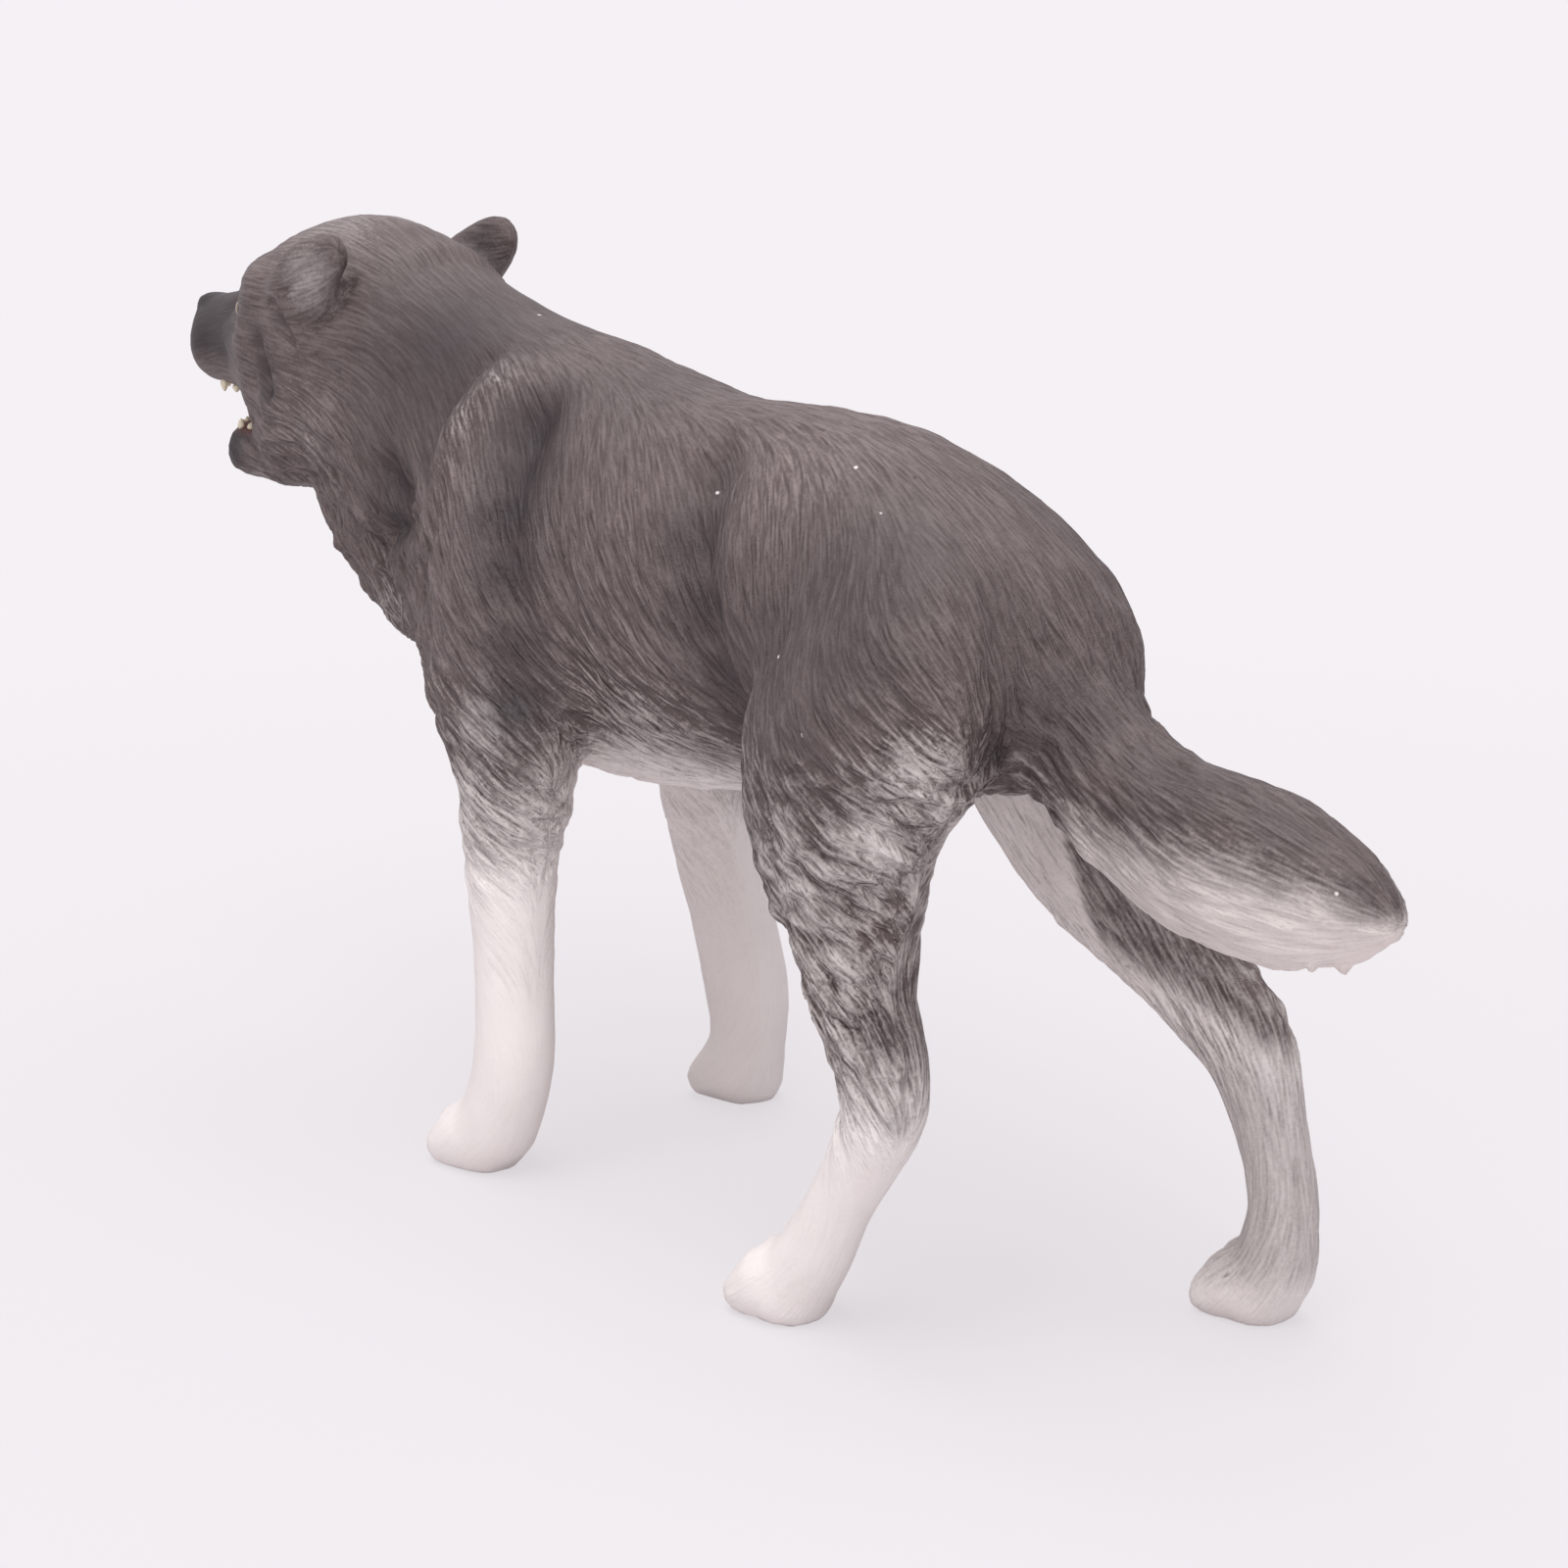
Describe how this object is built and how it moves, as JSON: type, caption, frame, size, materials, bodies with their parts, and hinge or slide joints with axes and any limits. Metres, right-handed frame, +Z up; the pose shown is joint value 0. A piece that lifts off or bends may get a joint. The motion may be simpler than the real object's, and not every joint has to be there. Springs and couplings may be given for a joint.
{
  "type": "wolf figurine",
  "caption": "Toy wolf figurine standing on flat soles, head turned, mouth open, tail out behind, for play or display.",
  "frame": {"origin": "centre of the bounding box at the level of the soles", "axes": "+Z is up from the soles; the wolf faces -Y and its tail points along +Y; +X is the wolf's left side"},
  "size_m": [0.0252, 0.1018, 0.0528],
  "materials": {
    "vinyl": "soft moulded vinyl, airbrushed grey over white, matte"
  },
  "bodies": {
    "root": {"wolf_figurine": "vinyl"}
  },
  "joints": []
}
